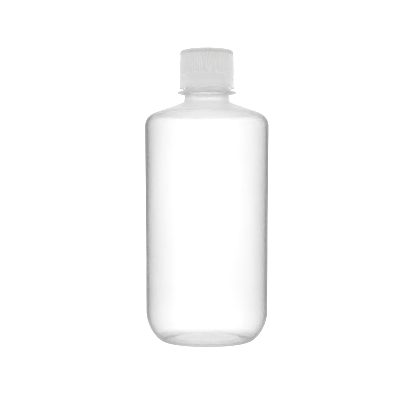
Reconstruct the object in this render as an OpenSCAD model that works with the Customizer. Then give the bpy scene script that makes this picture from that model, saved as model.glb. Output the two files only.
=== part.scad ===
// Narrow-mouth laboratory bottle, one litre, with a ribbed screw cap and a
// sealing liner. It stands on z = 0 with its axis on the Z axis, and the cap
// is screwed down. All lengths are in millimetres and all angles in degrees.

/* [Body] */
// Outer diameter just below the shoulder
body_d = 92; // [88:0.5:98]
// How much smaller the outer diameter is just above the heel
body_taper = 2; // [0:0.1:3]
// Height at which the straight wall ends and the shoulder begins
wall_top = 160.5; // [110:0.5:210]
// Radius of the corner between the wall and the shoulder
shoulder_round = 10.6; // [6:0.2:16]
// Slope of the shoulder above level
shoulder_slope = 20; // [12:1:30]
// Thickness of the blown wall
wall = 1.4; // [0.8:0.1:2.2]

/* [Heel and base] */
// Radius of the long upper curve of the heel
heel_round = 28; // [24:0.5:32]
// Angle that the long curve turns through before the foot curve takes over
heel_turn = 45; // [35:1:55]
// Radius of the foot curve, down to the ring the bottle stands on
foot_round = 12; // [8:0.5:14]
// Width of the flat ring the bottle stands on
foot_w = 3; // [2:0.5:5]
// Depth of the recess under the base
base_rise = 3.4; // [2.4:0.1:5]
// Thickness of the base
base_t = 1.9; // [1.2:0.1:2.6]
// Width of the pinched seam across the underside
pinch_w = 1.2; // [0.8:0.1:2]

/* [Neck and finish] */
// Outer diameter of the plain neck above and below the flange
neck_d = 33.3; // [32.5:0.1:34.2]
// Radius of the fillet between the shoulder and the neck
neck_fillet = 3.4; // [1.6:0.2:5]
// Height of the plain neck, from the fillet to the middle of the flange
neck_h = 4.4; // [3:0.1:12]
// Diameter of the mouth bore
bore_d = 29.6; // [27:0.1:30.2]
// Outer diameter of the thin flange under the cap
flange_d = 43.7; // [41:0.1:46]
// Thickness of the flange at its edge
flange_t = 0.9; // [0.6:0.1:1.6]
// Height of the underside of the cap above the middle of the flange
flange_gap = 3; // [2.2:0.1:5]
// Outer diameter of the mouth finish between the threads
finish_d = 34.8; // [34.4:0.1:35.2]
// Outer diameter over the bottle's thread
thread_d = 37.2; // [36.8:0.1:37.4]

/* [Thread] */
// Rise of the thread in one turn
pitch = 4.23; // [3.9:0.01:4.5]
// Turns of full thread on the bottle
bottle_turns = 1.6; // [1:0.1:1.8]
// Turns of full thread in the cap
cap_turns = 1.5; // [1:0.1:1.6]
// Gap left between the flanks that bear on each other
flank_gap = 0.25; // [0.2:0.05:0.4]

/* [Cap] */
// Height of the cap
cap_h = 28.5; // [27:0.1:30]
// Outer diameter over the ribs, just under the rounded top edge
cap_top_d = 40; // [39.8:0.1:40.6]
// Outer diameter over the ribs at their lower end
cap_rib_d = 40.7; // [40.6:0.1:41.2]
// Outer diameter of the smooth skirt under the ribs
cap_skirt_d = 40.4; // [40.2:0.1:41]
// Diameter of the bead round the open end
cap_bead_d = 41.3; // [41:0.1:42]
// Inner diameter of the cap between the threads
cap_bore_d = 37.8; // [37.7:0.05:38]
// Thickness of the cap's top
cap_top_t = 1.8; // [1.4:0.1:2.2]
// Radius of the edge round the top
cap_round = 2.4; // [2:0.1:3.2]
// Height of the smooth skirt under the ribs
skirt_h = 9.8; // [7:0.2:14]
// Number of grip ribs round the cap
rib_count = 72; // [48:6:90]
// Depth of the grooves between the ribs
rib_depth = 0.4; // [0.2:0.05:0.45]

/* [Liner] */
// Thickness of the sealing disc
liner_t = 1.2; // [0.8:0.1:1.6]
// Gap between the disc's edge and the cap's wall
liner_gap = 0.3; // [0.2:0.05:0.6]

/* [Hidden] */
$fn = 96;
arc_step = 7.5;

top_r = body_d / 2;
low_r = (body_d - body_taper) / 2;
bore_r = bore_d / 2;
neck_r = neck_d / 2;
finish_r = finish_d / 2;
flange_r = flange_d / 2;

// Shoulder: a corner arc about (shoulder_cx, wall_top), then a cone, then a
// fillet that turns up into the neck and ends at the height fillet_z.
shoulder_cx = top_r - shoulder_round;

// Heel: a long arc about (heel_cx, heel_h) runs into the foot arc about
// (foot_cx, foot_round), and the two share a tangent where they meet.
heel_cx = low_r - heel_round;
heel_h = foot_round + (heel_round - foot_round) * sin(heel_turn);
foot_cx = heel_cx + (heel_round - foot_round) * cos(heel_turn);

// Base recess: a rounded step inside the standing ring, then a shallow dome.
// The pinched seam stands seam_proud below the dome, over most of its width.
ring_r = foot_cx - foot_w;
step_round = 1.6;
recess_r = ring_r - step_round;
dome_rise = base_rise - step_round;
dome_r = (recess_r * recess_r + dome_rise * dome_rise) / (2 * dome_rise);
dome_half = asin(recess_r / dome_r);
seam_half = recess_r * 0.8;
seam_proud = 0.5;

// Heights of the mouth, from the shoulder up. The plain neck widens to the
// threaded finish at finish_step above the cap's open end.
fillet_z = fillet_height(0, neck_r, neck_fillet);
flange_z = fillet_z + neck_h;
cap_z = flange_z + flange_gap;
cap_top_z = cap_z + cap_h;
roof_z = cap_top_z - cap_top_t;
rim_z = roof_z - liner_t;
flange_root = 0.4;
finish_step = 1.2;
finish_step_z = cap_z + finish_step;
lip_edge = 0.5;

// Cap outline. The grooves between the ribs narrow from groove_mouth at the
// surface to groove_floor at their bottom, as shares of one rib's width.
bead_h = 0.8;
groove_mouth = 0.88;
groove_floor = 0.3;
rib_z = cap_z + skirt_h;
cap_bore_r = cap_bore_d / 2;

// Thread sections: slope of the flanks, half widths at the crest, and how
// far a section sinks into the wall that carries it. The cap's crest clears
// the bottle's finish by crest_gap.
flank = 0.5;
sink = 0.5;
crest_gap = 0.42;
thread_step = 10;
lead_in = 40;
thread_r = thread_d / 2;
cap_thread_r = finish_r + crest_gap;
bottle_crest = 0.45;
cap_crest = 0.4;
pair_half = bottle_crest + cap_crest + flank * (thread_r - cap_thread_r);
thread_rise = 4.8;
bottle_thread_z = cap_z + thread_rise;
cap_thread_z = bottle_thread_z - pair_half - flank_gap;
cap_thread_start = -86;

// The height at which a fillet of radius f, between a shoulder cone sunk by
// the depth d and a tube of radius r, has turned upright.
function fillet_height(d, r, f) =
    let (round_r = shoulder_round - d)
    let (r0 = shoulder_cx + round_r * sin(shoulder_slope))
    let (z0 = wall_top + round_r * cos(shoulder_slope))
    let (r1 = r + f - f * sin(shoulder_slope))
    z0 + (r0 - r1) * tan(shoulder_slope) + f * cos(shoulder_slope);

// Points of an arc about (cx, cz), from angle a0 to angle a1.
function arc(cx, cz, r, a0, a1) =
    let (n = max(2, ceil(abs(a1 - a0) / arc_step)))
    [for (i = [0 : n])
        let (a = a0 + (a1 - a0) * i / n)
        [cx + r * cos(a), cz + r * sin(a)]];

// A list without its first point.
function rest_of(points) = [for (i = [1 : len(points) - 1]) points[i]];

// A face with its corners in the opposite order.
function flipped(face) = [for (i = [len(face) - 1 : -1 : 0]) face[i]];

// Outer line of the bottle, from the middle of the underside to the rim.
function outer_line() = concat(
    arc(0, base_rise - dome_r, dome_r, 90, 90 - dome_half),
    rest_of(arc(ring_r, step_round, step_round, 180, 270)),
    arc(foot_cx, foot_round, foot_round, -90, -heel_turn),
    rest_of(arc(heel_cx, heel_h, heel_round, -heel_turn, 0)),
    arc(shoulder_cx, wall_top, shoulder_round, 0, 90 - shoulder_slope),
    arc(neck_r + neck_fillet, fillet_z, neck_fillet, 270 - shoulder_slope, 180),
    [
        [neck_r, flange_z - flange_t / 2 - flange_root],
        [flange_r, flange_z - flange_t / 2],
        [flange_r, flange_z + flange_t / 2],
        [neck_r, flange_z + flange_t / 2 + flange_root],
        [neck_r, finish_step_z],
        [finish_r, finish_step_z + finish_r - neck_r],
        [finish_r, rim_z - lip_edge],
        [finish_r - lip_edge, rim_z]
    ]);

// Inner line of the bottle, from the rim down to the middle of the floor.
function inner_line() =
    let (f = neck_fillet + wall)
    concat(
        [[bore_r + lip_edge, rim_z], [bore_r, rim_z - lip_edge]],
        arc(bore_r + f, fillet_height(wall, bore_r, f), f, 180, 270 - shoulder_slope),
        arc(shoulder_cx, wall_top, shoulder_round - wall, 90 - shoulder_slope, 0),
        arc(heel_cx, heel_h, heel_round - wall, 0, -heel_turn),
        rest_of(arc(foot_cx, foot_round, foot_round - wall, -heel_turn, -90)),
        [[ring_r, wall]],
        arc(0, base_rise + base_t - dome_r, dome_r, 90 - dome_half, 90));

// One corner of a thread's section, at the angle a round the axis.
function thread_point(a, r, z) = [r * cos(a), r * sin(a), z];

// A right-hand thread about the Z axis. Its crest stands at crest_r and its
// root sinks into the wall of radius wall_r. Both ends fade into that wall.
module thread(wall_r, crest_r, crest_half, z0, start, turns) {
    side = sign(crest_r - wall_r);
    deep_r = wall_r - side * sink;
    start_r = wall_r - side * sink / 2;
    sweep = turns * 360 + 2 * lead_in;
    n = ceil(sweep / thread_step);
    deep_half = crest_half + flank * abs(crest_r - deep_r);
    sections = [
        for (i = [0 : n])
            let (b = sweep * i / n)
            let (a = start + b)
            let (z = z0 + pitch * a / 360)
            let (fade = min(1, b / lead_in, (sweep - b) / lead_in))
            let (r = start_r + (crest_r - start_r) * fade)
            let (half = deep_half - flank * abs(r - deep_r))
            [
                thread_point(a, deep_r, z - deep_half),
                thread_point(a, r, z - half),
                thread_point(a, r, z + half),
                thread_point(a, deep_r, z + deep_half)
            ]
    ];
    points = [for (s = sections, p = s) p];
    ends = [[0, 1, 2, 3], [4 * n + 3, 4 * n + 2, 4 * n + 1, 4 * n]];
    sides = [
        for (i = [0 : n - 1], k = [0 : 3])
            let (m = (k + 1) % 4)
            let (p = 4 * i + k)
            let (q = 4 * i + m)
            for (t = [[p, p + 4, q + 4], [p, q + 4, q]]) t
    ];
    faces = concat(ends, sides);
    polyhedron(points, side < 0 ? faces : [for (f = faces) flipped(f)]);
}

// The seam where the blown tube was pinched shut, across the recess.
module pinch_seam() {
    intersection() {
        translate([-seam_half, -pinch_w / 2, 0])
            cube([2 * seam_half, pinch_w, 2 * base_rise]);
        rotate_extrude()
            polygon(concat(
                arc(0, base_rise - seam_proud - dome_r, dome_r, 90, 90 - dome_half),
                arc(0, base_rise + base_t / 2 - dome_r, dome_r, 90 - dome_half, 90)));
    }
}

module bottle() {
    color("aliceblue")
    union() {
        rotate_extrude()
            polygon(concat(outer_line(), inner_line()));
        thread(finish_r, thread_r, bottle_crest, bottle_thread_z, 0, bottle_turns);
        pinch_seam();
    }
}

// Outline of the grip ribs seen from above. It stands a little clear of the
// cap's surface, so that only the grooves between the ribs cut into it.
function rib_outline() =
    let (deep = cap_top_d / 2 - rib_depth)
    let (proud = cap_bead_d / 2)
    [for (i = [0 : rib_count - 1], p = [
            [proud, -groove_mouth],
            [deep, -groove_floor],
            [deep, groove_floor],
            [proud, groove_mouth]])
        let (a = 360 / rib_count * (i + p[1] / 2))
        [p[0] * cos(a), p[0] * sin(a)]];

// Everything outside the rib outline, over the height of the ribs.
module grooves() {
    translate([0, 0, rib_z])
        linear_extrude(cap_h)
            difference() {
                circle(r = cap_bead_d);
                polygon(rib_outline());
            }
}

module screw_cap() {
    crest_r = cap_top_d / 2;
    color("lightsteelblue")
    union() {
        difference() {
            rotate_extrude()
                polygon(concat(
                    [
                        [cap_bore_r + lip_edge, cap_z],
                        [cap_bead_d / 2, cap_z],
                        [cap_bead_d / 2, cap_z + bead_h],
                        [cap_skirt_d / 2, cap_z + bead_h],
                        [cap_skirt_d / 2, rib_z],
                        [cap_rib_d / 2, rib_z]
                    ],
                    arc(crest_r - cap_round, cap_top_z - cap_round, cap_round, 0, 90),
                    [
                        [0, cap_top_z],
                        [0, roof_z],
                        [cap_bore_r, roof_z],
                        [cap_bore_r, cap_z + lip_edge]
                    ]));
            grooves();
        }
        thread(cap_bore_r, cap_thread_r, cap_crest, cap_thread_z, cap_thread_start, cap_turns);
    }
}

module cap_liner() {
    color("lightskyblue")
    translate([0, 0, rim_z])
        cylinder(r = cap_bore_r - liner_gap, h = liner_t);
}

bottle();
screw_cap();
cap_liner();
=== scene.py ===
"""Looks for the narrow-mouth laboratory bottle: shell, ribbed cap and liner, built round the CAD frame.

Shapes are worked out in millimetres, and their meshes are scaled to metres when they are made. Outlines are
lists of (radius, height) points, and their corners are (radius, height, rounding). Grain depths in the
materials and the camera's place are in metres.
"""
import math

import bmesh
import bpy
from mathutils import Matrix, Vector


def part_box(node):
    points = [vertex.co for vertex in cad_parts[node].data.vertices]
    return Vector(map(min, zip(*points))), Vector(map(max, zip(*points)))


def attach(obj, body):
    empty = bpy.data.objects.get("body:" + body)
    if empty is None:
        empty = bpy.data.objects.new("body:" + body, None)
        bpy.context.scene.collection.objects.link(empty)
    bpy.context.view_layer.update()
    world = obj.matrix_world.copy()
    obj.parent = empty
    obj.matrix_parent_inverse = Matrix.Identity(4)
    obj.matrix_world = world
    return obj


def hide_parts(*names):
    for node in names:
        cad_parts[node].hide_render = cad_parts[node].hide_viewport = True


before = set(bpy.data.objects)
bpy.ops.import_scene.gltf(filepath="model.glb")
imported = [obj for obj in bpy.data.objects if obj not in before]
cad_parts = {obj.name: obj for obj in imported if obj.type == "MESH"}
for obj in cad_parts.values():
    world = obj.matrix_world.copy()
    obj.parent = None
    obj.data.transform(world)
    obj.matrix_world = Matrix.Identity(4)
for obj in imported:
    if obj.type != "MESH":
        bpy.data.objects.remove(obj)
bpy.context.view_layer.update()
scene = bpy.context.scene

MM = 0.001
TAU = 2 * math.pi
QUARTER = math.pi / 2
TOUCHING = 1e-3      # ends of an outline closer than this are one point
REPEATED = 1e-4      # neighbours in an outline closer than this are one point
SAME = 1e-6          # lengths closer than this are equal
MARGIN = 0.1         # slack on the limits that pick out a stretch of an outline

# ---------------------------------------------------------------- sizes that the CAD part also has

# Body
TOP_R = 46.0                     # outside, under the shoulder
LOW_R = 45.0                     # outside, above the heel
WALL = 1.4
WALL_TOP = 160.5                 # height of the side's upper end
SHOULDER_ROUND = 10.6
SLOPE = math.radians(20)         # of the shoulder

# Heel and base
HEEL_ROUND = 28.0                # the heel's large round, above
FOOT_ROUND = 12.0                # its small round, below
HEEL_TURN = math.radians(45)     # where one passes into the other
FOOT_W = 3.0                     # flat of the standing ring
STEP_ROUND = 1.6                 # inner edge of the standing ring
BASE_RISE = 3.4                  # of the recess's middle
BASE_T = 1.9

# Neck, flange and threaded finish
NECK_R = 16.65
NECK_FILLET = 3.4
BORE_R = 14.8
FLANGE_R = 21.85
FLANGE_T = 0.9
FLANGE_FLARE = 0.4               # how much thicker the flange is at its root, on each side
FLANGE_DROP = 3.0                # flange's middle to the cap's open end
FINISH_R = 17.4
FINISH_STEP = 1.2                # cap's open end to the foot of the finish
THREAD_R = 18.6

# Threads
PITCH = 4.23
THREAD_RISE = 4.8                # cap's open end to the middle of the bottle's thread, where it starts
THREAD_FLANK = 0.5               # width of a flank, as a share of the thread's depth
THREAD_PLAY = 0.25               # gap left between the flanks that bear on each other
CREST_GAP = 0.42                 # cap thread's crest to the finish
BOTTLE_CREST, CAP_CREST = 0.45, 0.4   # half widths of the crests
BOTTLE_TURNS, CAP_TURNS = 1.6, 1.5    # full turns
CAP_THREAD_START = -86           # degrees

# Cap
CAP_TOP_R = 20.0
CAP_RIB_R = 20.35                # lower end of the ribs
CAP_SKIRT_R = 20.2
CAP_BEAD_R = 20.65
CAP_BORE_R = 18.9
CAP_ROUND = 2.4                  # upper edge
BEAD_H = 0.8
SKIRT_H = 9.8                    # open end to the ribs
RIBS = 72
RIB_DEPTH = 0.4

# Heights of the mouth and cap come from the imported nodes.
CAP_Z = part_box("screw_cap")[0].z / MM
CAP_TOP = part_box("screw_cap")[1].z / MM
RIM_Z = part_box("bottle")[1].z / MM
ROOF_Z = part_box("cap_liner")[1].z / MM
LINER_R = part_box("cap_liner")[1].x / MM
FLANGE_Z = CAP_Z - FLANGE_DROP
RIB_Z = CAP_Z + SKIRT_H


# ---------------------------------------------------------------- outlines

ROUND_SHARE = 0.48               # most of a side that one corner's round takes up
HOLD_SHARE = 0.04                # distance of a holding point from its round, as a share of the side
CORNER_TURNS = 5                 # stretches in a rounded corner


def arc_in(cx, cz, r, a0, a1, stretches):
    """Points of an arc about (cx, cz) from angle a0 to a1, in a number of stretches."""
    turns = [a0 + (a1 - a0) * i / stretches for i in range(stretches + 1)]
    return [(cx + r * math.cos(a), cz + r * math.sin(a)) for a in turns]


def arc(cx, cz, r, a0, a1, step=math.radians(3)):
    """The same arc in stretches of at most one step, and at least two of them."""
    return arc_in(cx, cz, r, a0, a1, max(2, math.ceil(abs(a1 - a0) / step)))


def soften(corners):
    """A line with its corners rounded. The first and last stay sharp, and so does a corner with no rounding.

    Each round has a holding point just outside both its ends, so that smooth shading leaves the flats flat.
    """
    out = []
    last = len(corners) - 1
    for i, (r, z, rounding) in enumerate(corners):
        here = Vector((r, z))
        if rounding == 0 or i in (0, last):
            out.append((r, z))
            continue
        back = Vector(corners[i - 1][:2]) - here
        on = Vector(corners[i + 1][:2]) - here
        room = min(back.length, on.length)
        back.normalize()
        on.normalize()
        half = back.angle(on) / 2
        reach = min(rounding / math.tan(half), room * ROUND_SHARE)
        rounding = reach * math.tan(half)
        centre = here + (back + on).normalized() * (rounding / math.sin(half))
        start, end = here + back * reach, here + on * reach
        a0 = math.atan2(start.y - centre.y, start.x - centre.x)
        a1 = math.atan2(end.y - centre.y, end.x - centre.x)
        if a1 - a0 > math.pi:
            a1 -= TAU
        if a0 - a1 > math.pi:
            a1 += TAU
        hold = min(reach / 2, room * HOLD_SHARE)
        out.append(tuple(start + back * hold))
        out += arc_in(centre.x, centre.y, rounding, a0, a1, CORNER_TURNS)
        out.append(tuple(end + on * hold))
    return out


def split(p, q, n):
    """The ends of n equal stretches of the line from p to q, the last of them at q."""
    return [(p[0] + (q[0] - p[0]) * k / n, p[1] + (q[1] - p[1]) * k / n) for k in range(1, n + 1)]


def spaced(line, longest):
    """The same line with no gap between points longer than the given length."""
    out = [line[0]]
    for p, q in zip(line, line[1:]):
        out += split(p, q, max(1, math.ceil(math.dist(p, q) / longest)))
    return out


def with_rows(line, radius, gap):
    """The same line with points close together along its long upright stretch at a radius, for a thread."""
    out = []
    for p, q in zip(line, line[1:]):
        out.append(p)
        length = abs(q[1] - p[1])
        if p[0] == q[0] and abs(p[0] - radius) < SAME and length > PITCH:
            out += split(p, q, int(length / gap))[:-1]
    out.append(line[-1])
    return out


def unrepeated(line):
    """The same line without points that repeat the one before."""
    out = [line[0]]
    for p in line[1:]:
        if math.dist(p, out[-1]) > REPEATED:
            out.append(p)
    return out


def smooth(t):
    """An S-shaped step from 0 at t = 0 to 1 at t = 1, level outside them."""
    t = min(1.0, max(0.0, t))
    return t * t * (3 - 2 * t)


# ---------------------------------------------------------------- meshes

PLATE_R, PLATE_FADE = 33, 7      # the base mark grows from 0 at this radius to 1 this far inside it
PLATE_TOP = 8                    # and from 0 at this height to 1 a millimetre below it


def mesh_object(name, points, faces):
    """A smooth-shaded object. Each face is a row of point numbers."""
    bm = bmesh.new()
    made = [bm.verts.new((x * MM, y * MM, z * MM)) for x, y, z in points]
    for face in faces:
        bm.faces.new([made[i] for i in face])
    bmesh.ops.recalc_face_normals(bm, faces=bm.faces)
    mesh = bpy.data.meshes.new(name)
    bm.to_mesh(mesh)
    bm.free()
    for polygon in mesh.polygons:
        polygon.use_smooth = True
    ob = bpy.data.objects.new(name, mesh)
    scene.collection.objects.link(ob)
    return ob


def mark(ob, name, values):
    """Stores one number a point on the mesh, for the material to read."""
    marks = ob.data.attributes.new(name, "FLOAT", "POINT")
    marks.data.foreach_set("value", values)


def base_mark(x, y, z):
    """1 on the base plate, fading to 0 at the standing ring and above."""
    return smooth((PLATE_R - math.hypot(x, y)) / PLATE_FADE) * smooth(PLATE_TOP - z)


def lathe(name, line, angles, warp=None, inner_row=0):
    """Turns an outline about Z. Its ends are both on the axis, or they meet and close it.

    warp(row, radius, height, angle) gives each point its final radius and height. With an inner_row, the
    points from that row on are marked "inside" and the base plate is marked "base".
    """
    warp = warp or (lambda i, r, z, a: (r, z))
    line = unrepeated(line)
    closed = math.dist(line[0], line[-1]) < TOUCHING
    if closed:
        line = line[:-1]
    rows, points = [], []
    for i, (r, z) in enumerate(line):
        if r < SAME:
            rows.append([len(points)])
            points.append((0, 0, warp(i, 0.0, z, 0.0)[1]))
            continue
        row = []
        for a in angles:
            final_r, final_z = warp(i, r, z, a)
            row.append(len(points))
            points.append((final_r * math.cos(a), final_r * math.sin(a), final_z))
        rows.append(row)
    faces = []
    n = len(angles)
    pairs = list(zip(rows, rows[1:])) + ([(rows[-1], rows[0])] if closed else [])
    for low, high in pairs:
        if len(low) == len(high) == 1:
            continue
        for k in range(n):
            m = (k + 1) % n
            if len(low) == 1:
                faces.append((low[0], high[m], high[k]))
            elif len(high) == 1:
                faces.append((low[k], low[m], high[0]))
            else:
                faces.append((low[k], low[m], high[m], high[k]))
    ob = mesh_object(name, points, faces)
    if inner_row:
        mark(ob, "inside", [float(v >= rows[inner_row][0]) for v in range(len(points))])
        mark(ob, "base", [base_mark(*point) for point in points])
    return ob


def thread_height(depth, crest_half, z0, start, turns, lead=40):
    """How far a helical thread stands out: a function of height and of angle in radians.

    The thread's middle is at z0 at angle 0. It begins at the angle start, grows over lead degrees, runs full
    for its turns and dies away over lead degrees again.
    """
    root_half = crest_half + THREAD_FLANK * depth
    sweep = turns * 360 + 2 * lead

    def height(z, a):
        best = 0.0
        deg = math.degrees(a)
        k = math.ceil((start - deg) / 360)
        while deg + 360 * k <= start + sweep:
            turn = deg + 360 * k
            done = turn - start
            fade = smooth(min(1, done / lead, (sweep - done) / lead))
            off = abs(z - (z0 + PITCH * turn / 360))
            if off < root_half:
                best = max(best, fade * smooth((root_half - off) / (root_half - crest_half)))
            k += 1
        return best * depth

    return height


def even_angles(count):
    """Angles evenly spaced round a full turn."""
    return [k * TAU / count for k in range(count)]


# ---------------------------------------------------------------- bottle

# Lengths and angles between neighbouring points, where the outline is finer or coarser than arc()'s own.
BASE_GAP, SLOPE_GAP, SIDE_GAP = 1.0, 1.5, 4.0
INNER_SIDE_GAP, INNER_DOME_GAP, THREAD_GAP = 6.0, 2.0, 0.2
STEP_TURN, FILLET_TURN = math.radians(12), math.radians(8)

RIM_ROUND = 0.6
INNER_DOME_SHARE = 0.88          # of the dome's half angle that its inner face takes up

# Low waves on the side wall: height, number round the wall, turn in radians a millimetre, phase.
OUTER_WAVES = ((0.05, 2, 0.06, 0.0), (0.04, 3, -0.11, 2.0))
INNER_WAVES = ((0.10, 3, 0.045, 1.0), (0.08, 5, -0.03, 0.0))
OUTER_WAVES_IN = 0.09            # how far the outer waves are set in, so that they stay inside the CAD wall
WAVES_LOW, WAVES_HIGH, WAVES_FADE = 24, 158, 30

# The mould's parting line, a low ridge up both sides of the bottle.
SEAM_H, SEAM_HALF = 0.10, 0.28
SEAM_LOW, SEAM_FADE = 8, 6       # height where it starts, and over which it grows
SEAM_STOP = 1.2                  # how far under the flange's middle it ends

# The pinched seam across the underside.
PINCH_H, PINCH_HALF, PINCH_FLANK = 0.5, 0.75, 0.35
PINCH_SHARE, PINCH_FADE = 0.8, 2.0   # its half length as a share of the recess, and the taper of its ends

# Points round the bottle, with more of them at the two parting lines.
EVEN_POINTS = 252
SEAM_POINTS = [math.radians(degrees) for degrees in (0.22, 0.45, 0.8)]

heel_cx = LOW_R - HEEL_ROUND
heel_h = FOOT_ROUND + (HEEL_ROUND - FOOT_ROUND) * math.sin(HEEL_TURN)
foot_cx = heel_cx + (HEEL_ROUND - FOOT_ROUND) * math.cos(HEEL_TURN)
ring_r = foot_cx - FOOT_W
recess_r = ring_r - STEP_ROUND
dome_rise = BASE_RISE - STEP_ROUND
dome_r = (recess_r ** 2 + dome_rise ** 2) / (2 * dome_rise)
dome_half = math.asin(recess_r / dome_r)
shoulder_cx = TOP_R - SHOULDER_ROUND


def fillet_top(inset, r, fillet):
    """Height where the fillet between shoulder and neck runs out into the neck's radius r.

    inset is how far the surface lies inside the bottle's outer one.
    """
    round_r = SHOULDER_ROUND - inset
    r0 = shoulder_cx + round_r * math.sin(SLOPE)
    z0 = WALL_TOP + round_r * math.cos(SLOPE)
    return z0 + (r0 - (r + fillet - fillet * math.sin(SLOPE))) * math.tan(SLOPE) + fillet * math.cos(SLOPE)


fillet_z = fillet_top(0, NECK_R, NECK_FILLET)
inner_fillet = NECK_FILLET + WALL
inner_fillet_z = fillet_top(WALL, BORE_R, inner_fillet)
step_z = CAP_Z + FINISH_STEP
plate_z = STEP_ROUND + BASE_T    # upper face of the base, at the foot of its dome

neck_fillet = arc(NECK_R + NECK_FILLET, fillet_z, NECK_FILLET, 3 * QUARTER - SLOPE, math.pi, FILLET_TURN)
outside = (
    spaced(arc(0, BASE_RISE - dome_r, dome_r, QUARTER, QUARTER - dome_half), BASE_GAP)
    + arc(ring_r, STEP_ROUND, STEP_ROUND, math.pi, 1.5 * math.pi, STEP_TURN)
    + spaced([(ring_r, 0), (foot_cx, 0)], BASE_GAP)
    + arc(foot_cx, FOOT_ROUND, FOOT_ROUND, -QUARTER, -HEEL_TURN)
    + arc(heel_cx, heel_h, HEEL_ROUND, -HEEL_TURN, 0)
    + spaced([(LOW_R, heel_h), (TOP_R, WALL_TOP)], SIDE_GAP)
    + arc(shoulder_cx, WALL_TOP, SHOULDER_ROUND, 0, QUARTER - SLOPE)
)
outside += spaced([outside[-1], neck_fillet[0]], SLOPE_GAP) + neck_fillet
finish = soften([
    (NECK_R, fillet_z, 0),
    (NECK_R, FLANGE_Z - FLANGE_T / 2 - FLANGE_FLARE, 0.5),
    (FLANGE_R, FLANGE_Z - FLANGE_T / 2, 0.3),
    (FLANGE_R, FLANGE_Z + FLANGE_T / 2, 0.3),
    (NECK_R, FLANGE_Z + FLANGE_T / 2 + FLANGE_FLARE, 0.5),
    (NECK_R, step_z, 0.5),
    (FINISH_R, step_z + FINISH_R - NECK_R, 0.4),
    (FINISH_R, RIM_Z, RIM_ROUND),
    (BORE_R, RIM_Z, RIM_ROUND),
    (BORE_R, inner_fillet_z, 0),
])
# The last corner of the inner step only gives it a direction to leave in.
inner_step = soften([
    (foot_cx, WALL, 0),
    (ring_r, WALL, 1.5),
    (recess_r, plate_z, 1.0),
    (recess_r - 3, plate_z + 0.35, 0),
])[:-1]
inner_dome = arc(0, BASE_RISE + BASE_T - dome_r, dome_r, QUARTER - dome_half * INNER_DOME_SHARE, QUARTER)
inside = (
    arc(BORE_R + inner_fillet, inner_fillet_z, inner_fillet, math.pi, 3 * QUARTER - SLOPE, FILLET_TURN)
    + arc(shoulder_cx, WALL_TOP, SHOULDER_ROUND - WALL, QUARTER - SLOPE, 0)
    + spaced([(TOP_R - WALL, WALL_TOP), (LOW_R - WALL, heel_h)], INNER_SIDE_GAP)
    + arc(heel_cx, heel_h, HEEL_ROUND - WALL, 0, -HEEL_TURN)
    + arc(foot_cx, FOOT_ROUND, FOOT_ROUND - WALL, -HEEL_TURN, -QUARTER)
    + inner_step
    + spaced(inner_dome, INNER_DOME_GAP)
)
outer_line = unrepeated(outside + with_rows(finish, FINISH_R, THREAD_GAP))
bottle_thread = thread_height(THREAD_R - FINISH_R, BOTTLE_CREST, CAP_Z + THREAD_RISE, 0, BOTTLE_TURNS)


def wall_only(z):
    """1 along the side wall, falling to 0 before the heel and the shoulder."""
    return smooth((z - WAVES_LOW) / WAVES_FADE) * smooth((WAVES_HIGH - z) / WAVES_FADE)


def waves(kinds, z, a):
    """The sum of several wave patterns at a height and angle."""
    return sum(depth * math.sin(count * a + turn * z + phase) for depth, count, turn, phase in kinds)


def bottle_warp(i, r, z, a):
    """Adds the thread, the parting line on both sides, the pinched seam below and the wall's unevenness."""
    if i == 0:
        return r, z - PINCH_H
    if i >= len(outer_line):
        return r + wall_only(z) * waves(INNER_WAVES, z, a), z
    x, y = r * math.cos(a), r * math.sin(a)
    if abs(r - FINISH_R) < SAME:
        return r + bottle_thread(z, a), z
    if z < BASE_RISE + MARGIN and r < recess_r:
        across = smooth((PINCH_HALF - abs(y)) / PINCH_FLANK)
        along = smooth((recess_r * PINCH_SHARE - abs(x)) / PINCH_FADE)
        return r, z - PINCH_H * across * along
    if SEAM_LOW < z < FLANGE_Z - SEAM_STOP and r > NECK_R - MARGIN:
        r += SEAM_H * math.exp(-((y / SEAM_HALF) ** 2)) * smooth((z - SEAM_LOW) / SEAM_FADE)
        r += wall_only(z) * (waves(OUTER_WAVES, z, a) - OUTER_WAVES_IN)
    return r, z


def bottle_angles():
    """Even angles, and a few close to each parting line on both its sides. Rounding merges equal ones."""
    even = {round(a, 6) for a in even_angles(EVEN_POINTS)}
    seams = {round(a % TAU, 6) for line in (0, math.pi) for d in SEAM_POINTS for a in (line - d, line + d)}
    return sorted(even | seams)


# The bore's upper end is three rows from the end of outer_line, and the inside mark starts there.
bottle = lathe("bottle_shell", outer_line + inside, bottle_angles(), bottle_warp, len(outer_line) - 3)

# ---------------------------------------------------------------- cap

RIB_GAP, CAP_THREAD_GAP = 0.6, 0.22       # between rows of points on the ribs and on the thread
CAP_TOP_TURN = math.radians(7)            # between points of the upper edge
POINTS_PER_RIB = 8
RIB_START = 0.05                          # skirt's top to the start of the ribs
RIB_RUN_IN = 1.4                          # height over which the grooves grow to their full depth
GROOVE_HALF, GROOVE_FLANK = 0.36, 0.2     # half width and flank of a groove, in spacings of the ribs
GATE_R, GATE_DEPTH, GATE_FLANK = 1.5, 0.18, 0.7   # dimple in the middle of the top
RIB_LEDGE = 0.1                           # height over which the skirt widens to the ribs
ROOF_R = 17                               # last row of points on the flat roof inside

cap_thread_r = FINISH_R + CREST_GAP
# How far apart the middles of the two threads are when their flanks touch.
threads_apart = BOTTLE_CREST + CAP_CREST + THREAD_FLANK * (THREAD_R - cap_thread_r)
cap_thread_z = CAP_Z + THREAD_RISE - threads_apart - THREAD_PLAY
cap_thread = thread_height(CAP_BORE_R - cap_thread_r, CAP_CREST, cap_thread_z, CAP_THREAD_START, CAP_TURNS)
rib_floor_r = CAP_TOP_R - RIB_DEPTH
edge_z = CAP_TOP - CAP_ROUND

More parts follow.
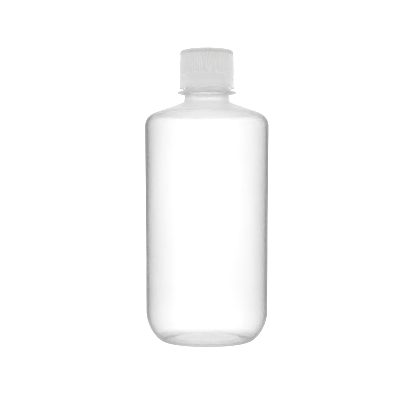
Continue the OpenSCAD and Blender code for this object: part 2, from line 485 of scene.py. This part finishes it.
cap_side = soften([
    (CAP_BORE_R, CAP_Z, 0),
    (CAP_BEAD_R, CAP_Z, 0.35),
    (CAP_BEAD_R, CAP_Z + BEAD_H, 0.3),
    (CAP_SKIRT_R, CAP_Z + BEAD_H, 0.2),
    (CAP_SKIRT_R, RIB_Z, 0.05),
    (CAP_RIB_R, RIB_Z + RIB_LEDGE, 0.1),
    (CAP_TOP_R, edge_z, 0),
])[1:-1]
cap_side += spaced([cap_side[-1], (CAP_TOP_R, edge_z)], RIB_GAP)[1:]
cap_top = (
    arc(CAP_TOP_R - CAP_ROUND, edge_z, CAP_ROUND, 0, QUARTER, CAP_TOP_TURN)[1:]
    + [(r, CAP_TOP) for r in (16.5, 14, 10, 6, 3, 1.6, 1.2, 0.8, 0.4, 0)]
)
roof = [(r, ROOF_Z) for r in (0, 6, 12, ROOF_R)]
cap_bore = soften([
    (ROOF_R, ROOF_Z, 0),
    (CAP_BORE_R, ROOF_Z, 0.4),
    (CAP_BORE_R, CAP_Z, 0.4),
    (CAP_BEAD_R, CAP_Z, 0),
])[1:-1]
cap_line = unrepeated(cap_side + cap_top + roof + with_rows(cap_bore, CAP_BORE_R, CAP_THREAD_GAP))
cap_line.append(cap_line[0])
cap_outer_rows = len(unrepeated(cap_side + cap_top))


def groove(a):
    """How deep the groove between two ribs is here, from 0 on a crest to 1 on its floor."""
    part = abs((a / TAU * RIBS) % 1 - 0.5)
    return smooth((GROOVE_HALF - part) / GROOVE_FLANK)


def cap_warp(i, r, z, a):
    """Cuts the grooves between the ribs and the dimple on top, and adds the thread inside."""
    if i >= cap_outer_rows:
        if abs(r - CAP_BORE_R) < SAME:
            return r - cap_thread(z, a), z
        return r, z
    if z > RIB_Z + RIB_START and r > rib_floor_r:
        grown = smooth((z - RIB_Z - RIB_START) / RIB_RUN_IN)
        return r - (r - rib_floor_r) * groove(a) * grown, z
    if r < GATE_R and z > CAP_TOP - 1:
        return r, z - GATE_DEPTH * smooth((GATE_R - r) / GATE_FLANK)
    return r, z


cap = lathe("cap_shell", cap_line, even_angles(RIBS * POINTS_PER_RIB), cap_warp, cap_outer_rows)

# ---------------------------------------------------------------- liner

LINER_GAP = 0.04                 # to the rim below and the cap's roof above
LINER_POINTS, LINER_LONGEST = 96, 3.0

liner_line = soften([
    (0, RIM_Z + LINER_GAP, 0),
    (LINER_R, RIM_Z + LINER_GAP, 0.2),
    (LINER_R, ROOF_Z - LINER_GAP, 0.2),
    (0, ROOF_Z - LINER_GAP, 0),
])
liner = lathe("liner_disc", spaced(liner_line, LINER_LONGEST), even_angles(LINER_POINTS))


# ---------------------------------------------------------------- material nodes

def nodes_of(name):
    """A new material and its empty node tree."""
    mat = bpy.data.materials.new(name)
    mat.use_nodes = True
    nt = mat.node_tree
    nt.nodes.clear()
    return mat, nt


def link(nt, a, b):
    nt.links.new(a, b)


def noise(nt, coords, scale, detail=3.0, rough=0.5, stretch=(1, 1, 1)):
    """Smooth noise. A stretch under 1 along an axis draws it out along that axis."""
    place = nt.nodes.new("ShaderNodeMapping")
    place.inputs["Scale"].default_value = stretch
    link(nt, coords, place.inputs["Vector"])
    field = nt.nodes.new("ShaderNodeTexNoise")
    field.inputs["Scale"].default_value = scale
    field.inputs["Detail"].default_value = detail
    field.inputs["Roughness"].default_value = rough
    link(nt, place.outputs["Vector"], field.inputs["Vector"])
    return field.outputs["Fac"]


def span(nt, value, low, high, from_low=0.3, from_high=0.7):
    """The value carried from one range to another, and held at the ends. Noise lies mostly in 0.3 to 0.7."""
    ranged = nt.nodes.new("ShaderNodeMapRange")
    ranged.inputs["From Min"].default_value = from_low
    ranged.inputs["From Max"].default_value = from_high
    ranged.inputs["To Min"].default_value = low
    ranged.inputs["To Max"].default_value = high
    link(nt, value, ranged.inputs["Value"])
    return ranged.outputs["Result"]


def maths(nt, operation, first, second=None):
    """One calculation on sockets or plain numbers."""
    node = nt.nodes.new("ShaderNodeMath")
    node.operation = operation
    for socket, value in zip(node.inputs, (first, second)):
        if value is None:
            continue
        if isinstance(value, (int, float)):
            socket.default_value = value
        else:
            link(nt, value, socket)
    return node.outputs[0]


def stored(nt, name):
    """The number that mark() stored on the mesh, or 0 where there is none."""
    node = nt.nodes.new("ShaderNodeAttribute")
    node.attribute_name = name
    return node.outputs["Fac"]


def by_height(nt, coords, stops):
    """A value that follows the height in millimetres through (height, value) stops."""
    axes = nt.nodes.new("ShaderNodeSeparateXYZ")
    link(nt, coords, axes.inputs[0])
    low, high = stops[0][0], stops[-1][0]
    ramp = nt.nodes.new("ShaderNodeValToRGB")
    ramp.color_ramp.interpolation = "EASE"
    elements = ramp.color_ramp.elements
    for height, value in stops[1:-1]:
        elements.new((height - low) / (high - low)).color = (value, value, value, 1)
    for element, (height, value) in ((elements[0], stops[0]), (elements[-1], stops[-1])):
        element.color = (value, value, value, 1)
    link(nt, span(nt, axes.outputs[2], 0, 1, low * MM, high * MM), ramp.inputs[0])
    return ramp.outputs[0]


def bump_of(nt, height, strength, distance):
    """A bumped normal. The distance is in metres."""
    bump = nt.nodes.new("ShaderNodeBump")
    bump.inputs["Strength"].default_value = strength
    bump.inputs["Distance"].default_value = distance
    link(nt, height, bump.inputs["Height"])
    return bump.outputs["Normal"]


# ---------------------------------------------------------------- plastic

PLATE_PAINTED_LIGHT, LIGHTEST = 0.42, 0.97     # painted light added to the base plate's brightness, and the most brightness there is
PLATE_BELOW, PLATE_ABOVE = 0.45, 0.5     # the plate's haze as a share, and what its upper face adds
ROUGH_LESS, ROUGH_MORE = 0.06, 0.08      # how far the roughness goes below and above its own value
LEAST_COSINE = 0.02                      # keeps the path through a wall seen edge-on finite


def milky_shader(nt, coords, shade, rough, fine_scale, fine_depth):
    """The part of the light that is scattered. Half of it comes back, and half comes through."""
    front = nt.nodes.new("ShaderNodeBsdfPrincipled")
    link(nt, shade, front.inputs["Base Color"])
    front.inputs["IOR"].default_value = 1.5
    front.inputs["Specular IOR Level"].default_value = 0.08
    gloss = noise(nt, coords, 90, detail=4, rough=0.6)
    link(nt, span(nt, gloss, rough - ROUGH_LESS, rough + ROUGH_MORE), front.inputs["Roughness"])
    grain = noise(nt, coords, fine_scale, detail=4, rough=0.6, stretch=(1, 1, 0.5))
    link(nt, bump_of(nt, grain, strength=0.35, distance=fine_depth), front.inputs["Normal"])
    through = nt.nodes.new("ShaderNodeBsdfTranslucent")
    link(nt, shade, through.inputs["Color"])
    both = nt.nodes.new("ShaderNodeMixShader")
    both.inputs[0].default_value = 0.5
    link(nt, front.outputs[0], both.inputs[1])
    link(nt, through.outputs[0], both.inputs[2])
    return both.outputs[0]


def passed_share(nt, coords, hazes, within, uneven, plate):
    """The share of the light that passes straight through one surface, less where the wall is slanted."""
    slant = nt.nodes.new("ShaderNodeLayerWeight")
    slant.inputs["Blend"].default_value = 0.5
    cosine = maths(nt, "MAXIMUM", maths(nt, "SUBTRACT", 1.0, slant.outputs["Facing"]), LEAST_COSINE)
    drawn = noise(nt, coords, 22, detail=3, rough=0.55, stretch=(1, 1, 0.4))
    streaks = span(nt, drawn, 1 - 2 * uneven, 1 + 2 * uneven)
    inner = stored(nt, "inside")
    skin = span(nt, inner, 1.0, within, 0, 1)
    haze = maths(nt, "MULTIPLY", maths(nt, "MULTIPLY", by_height(nt, coords, hazes), skin), streaks)
    haze = maths(nt, "MULTIPLY", haze, span(nt, plate, 1.0, PLATE_BELOW, 0, 1))
    upper_face = maths(nt, "MULTIPLY", plate, inner)
    haze = maths(nt, "ADD", haze, maths(nt, "MULTIPLY", upper_face, PLATE_ABOVE))
    return maths(nt, "EXPONENT", maths(nt, "MULTIPLY", maths(nt, "DIVIDE", haze, cosine), -1.0))


def natural_plastic(name, shades, hazes, within, rough, density, fine_scale, fine_depth, uneven):
    """Translucent natural plastic. Each surface scatters some light, and the rest passes straight on.

    shades (brightness) and hazes (how much is scattered) are (height, value) stops, and within is the inner
    faces' haze as a share. density dims the light inside the wall. fine_scale and fine_depth (in metres) are
    the surface's grain, and uneven is how much brightness and haze vary.
    """
    mat, nt = nodes_of(name)
    out = nt.nodes.new("ShaderNodeOutputMaterial")
    coords = nt.nodes.new("ShaderNodeTexCoord").outputs["Object"]
    plate = stored(nt, "base")
    drawn = noise(nt, coords, 28, detail=3, rough=0.55, stretch=(1, 1, 0.35))
    mottle = span(nt, drawn, 1 - uneven, 1 + uneven / 2)
    shade = maths(nt, "MULTIPLY", by_height(nt, coords, shades), mottle)
    # The base plate is lightened: painted light for the glow from the floor below it.
    shade = maths(nt, "ADD", shade, maths(nt, "MULTIPLY", plate, PLATE_PAINTED_LIGHT))
    shade = maths(nt, "MINIMUM", shade, LIGHTEST)
    mix = nt.nodes.new("ShaderNodeMixShader")
    link(nt, passed_share(nt, coords, hazes, within, uneven, plate), mix.inputs[0])
    link(nt, milky_shader(nt, coords, shade, rough, fine_scale, fine_depth), mix.inputs[1])
    link(nt, nt.nodes.new("ShaderNodeBsdfTransparent").outputs[0], mix.inputs[2])
    link(nt, mix.outputs[0], out.inputs["Surface"])
    wall = nt.nodes.new("ShaderNodeVolumeAbsorption")
    wall.inputs["Color"].default_value = (0.0, 0.0, 0.0, 1)
    wall.inputs["Density"].default_value = density
    link(nt, wall.outputs[0], out.inputs["Volume"])
    return mat


# The blown wall is thin and clear. Base, shoulder, neck and finish are thicker and milkier.
bottle.data.materials.append(natural_plastic(
    "blown_plastic",
    # Brightness by height: lighter where the plastic is milkier, and the shoulder's upward face is toned
    # down as painted shade under the light from above.
    shades=((0, 0.40), (4, 0.48), (12, 0.40), (22, 0.22), (40, 0.17), (158, 0.17),
            (165, 0.24), (169, 0.72), (175, 0.76), (182, 0.84), (185, 0.73), (188, 0.92)),
    hazes=((0, 0.52), (3, 0.31), (6.5, 0.16), (14, 0.14), (24, 0.14), (158, 0.14),
           (167, 0.14), (169.5, 0.25), (175, 0.34), (183, 0.50), (185, 0.85), (187, 0.5)),
    within=0.3, rough=0.36, density=25, fine_scale=260, fine_depth=0.0002, uneven=0.05))

# The cap is evenly milky. A band of painted shade darkens its rounded upper edge, at the height of the liner
# inside, and the flat top is lighter again.
cap.data.materials.append(natural_plastic(
    "moulded_plastic",
    shades=((188, 0.90), (202, 0.90), (212.6, 0.90), (214.6, 0.69), (216.3, 0.66), (217, 0.90)),
    hazes=((188, 0.45), (193, 0.75), (217, 0.75)),
    within=0.8, rough=0.36, density=20, fine_scale=600, fine_depth=0.00003, uneven=0.015))


# ---------------------------------------------------------------- foam

CELLS_SCALE = 2200               # cells of the foam to a metre


def foam_sheet(name):
    """Fine closed-cell foam, off-white."""
    mat, nt = nodes_of(name)
    out = nt.nodes.new("ShaderNodeOutputMaterial")
    coords = nt.nodes.new("ShaderNodeTexCoord").outputs["Object"]
    body = nt.nodes.new("ShaderNodeBsdfPrincipled")
    cells = nt.nodes.new("ShaderNodeTexVoronoi")
    cells.inputs["Scale"].default_value = CELLS_SCALE
    link(nt, coords, cells.inputs["Vector"])
    # A colour mix takes its two colours on sockets 6 and 7 and gives the result on socket 2.
    colour = nt.nodes.new("ShaderNodeMix")
    colour.data_type = "RGBA"
    colour.inputs[6].default_value = (0.80, 0.80, 0.78, 1)
    colour.inputs[7].default_value = (0.90, 0.90, 0.89, 1)
    link(nt, span(nt, cells.outputs["Distance"], 0, 1, from_low=0.1, from_high=0.6), colour.inputs[0])
    link(nt, colour.outputs[2], body.inputs["Base Color"])
    link(nt, span(nt, noise(nt, coords, 400), 0.6, 0.75), body.inputs["Roughness"])
    link(nt, bump_of(nt, cells.outputs["Distance"], strength=0.5, distance=0.0001), body.inputs["Normal"])
    link(nt, body.outputs[0], out.inputs["Surface"])
    return mat


liner.data.materials.append(foam_sheet("liner_foam"))

for piece, body, node, slot in ((bottle, "bottle", "bottle", "bottle_plastic"),
                                (cap, "cap", "screw_cap", "cap_plastic"),
                                (liner, "liner", "cap_liner", "liner_foam")):
    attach(piece, body)
    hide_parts(node)

# ---------------------------------------------------------------- floor, light, camera

WHITE = (1, 1, 1, 1)
FLOOR_HALF, FLOOR_Z = 4000, -0.4
BACK = 1.55                      # strength of floor and surroundings as the camera sees them
FLOOR_GLOW = 1.27                # strength of the floor as it lights the object
HORIZON, OVERHEAD = 1.0, 1.3     # strength of the soft box, level and overhead
BEHIND = 0.6                     # what the raised light behind adds to it
DARK_SIDE = (-0.64, 0.77, 0)     # direction of the darker side, behind on the left
RAISED_BACK = (0, 0.77, 0.64)    # direction of the raised light behind
DARKEST = 0.2                    # share of the light left in the middle of the dark side
CAMERA_PLACE = (-0.0051, -0.7659, 0.1056)   # metres
LENS, SENSOR = 92.5, 36          # millimetres


def camera_ray(nt):
    """1 for what the camera sees directly, 0 for light on its way to the object."""
    return nt.nodes.new("ShaderNodeLightPath").outputs["Is Camera Ray"]


def pale_floor(name):
    """An even glow from above. From below it is clear, so that the underside of the object can be seen."""
    mat, nt = nodes_of(name)
    out = nt.nodes.new("ShaderNodeOutputMaterial")
    glow = nt.nodes.new("ShaderNodeEmission")
    glow.inputs["Color"].default_value = WHITE
    link(nt, span(nt, camera_ray(nt), FLOOR_GLOW, BACK, 0, 1), glow.inputs["Strength"])
    mix = nt.nodes.new("ShaderNodeMixShader")
    link(nt, nt.nodes.new("ShaderNodeNewGeometry").outputs["Backfacing"], mix.inputs[0])
    link(nt, glow.outputs[0], mix.inputs[1])
    link(nt, nt.nodes.new("ShaderNodeBsdfTransparent").outputs[0], mix.inputs[2])
    link(nt, mix.outputs[0], out.inputs["Surface"])
    return mat


def towards(nt, way, direction):
    """How closely the way that a ray goes agrees with a direction: 1 where it is the same."""
    dot = nt.nodes.new("ShaderNodeVectorMath")
    dot.operation = "DOT_PRODUCT"
    dot.inputs[1].default_value = direction
    link(nt, way, dot.inputs[0])
    return dot.outputs["Value"]


def studio(name):
    """Soft light from above and behind, darker at the back left, and plain white to the camera."""
    world = bpy.data.worlds.new(name)
    world.use_nodes = True
    nt = world.node_tree
    nt.nodes.clear()
    out = nt.nodes.new("ShaderNodeOutputWorld")
    sky = nt.nodes.new("ShaderNodeBackground")
    sky.inputs["Color"].default_value = WHITE
    way = nt.nodes.new("ShaderNodeTexCoord").outputs["Generated"]
    axes = nt.nodes.new("ShaderNodeSeparateXYZ")
    link(nt, way, axes.inputs[0])
    soft_top = span(nt, axes.outputs[2], HORIZON, OVERHEAD, from_low=0.05, from_high=0.75)
    raised = span(nt, towards(nt, way, RAISED_BACK), 0, 1, from_low=0.55, from_high=0.98)
    soft_box = maths(nt, "ADD", soft_top, maths(nt, "MULTIPLY", raised, BEHIND))
    flag = span(nt, towards(nt, way, DARK_SIDE), 1.0, DARKEST, from_low=0.80, from_high=0.97)
    seen = camera_ray(nt)
    unseen = maths(nt, "SUBTRACT", 1.0, seen)
    lighting = maths(nt, "MULTIPLY", maths(nt, "MULTIPLY", soft_box, flag), unseen)
    link(nt, maths(nt, "ADD", lighting, maths(nt, "MULTIPLY", seen, BACK)), sky.inputs["Strength"])
    link(nt, sky.outputs[0], out.inputs["Surface"])
    return world


def level_camera(name):
    """A camera that looks along +Y, a little under the level of the object's middle."""
    data = bpy.data.cameras.new(name)
    data.sensor_width = SENSOR
    data.lens = LENS
    data.clip_start, data.clip_end = 0.01, 100
    camera = bpy.data.objects.new(name, data)
    camera.location = CAMERA_PLACE
    camera.rotation_euler = (QUARTER, 0, 0)
    scene.collection.objects.link(camera)
    return camera


floor_corners = [(x * FLOOR_HALF, y * FLOOR_HALF, FLOOR_Z) for x, y in ((-1, -1), (1, -1), (1, 1), (-1, 1))]
floor = mesh_object("floor", floor_corners, [(0, 1, 2, 3)])
floor.data.materials.append(pale_floor("pale_floor"))

scene.world = studio("studio")
scene.camera = level_camera("camera")
scene.view_settings.view_transform = "Standard"
scene.cycles.transparent_max_bounces = 32
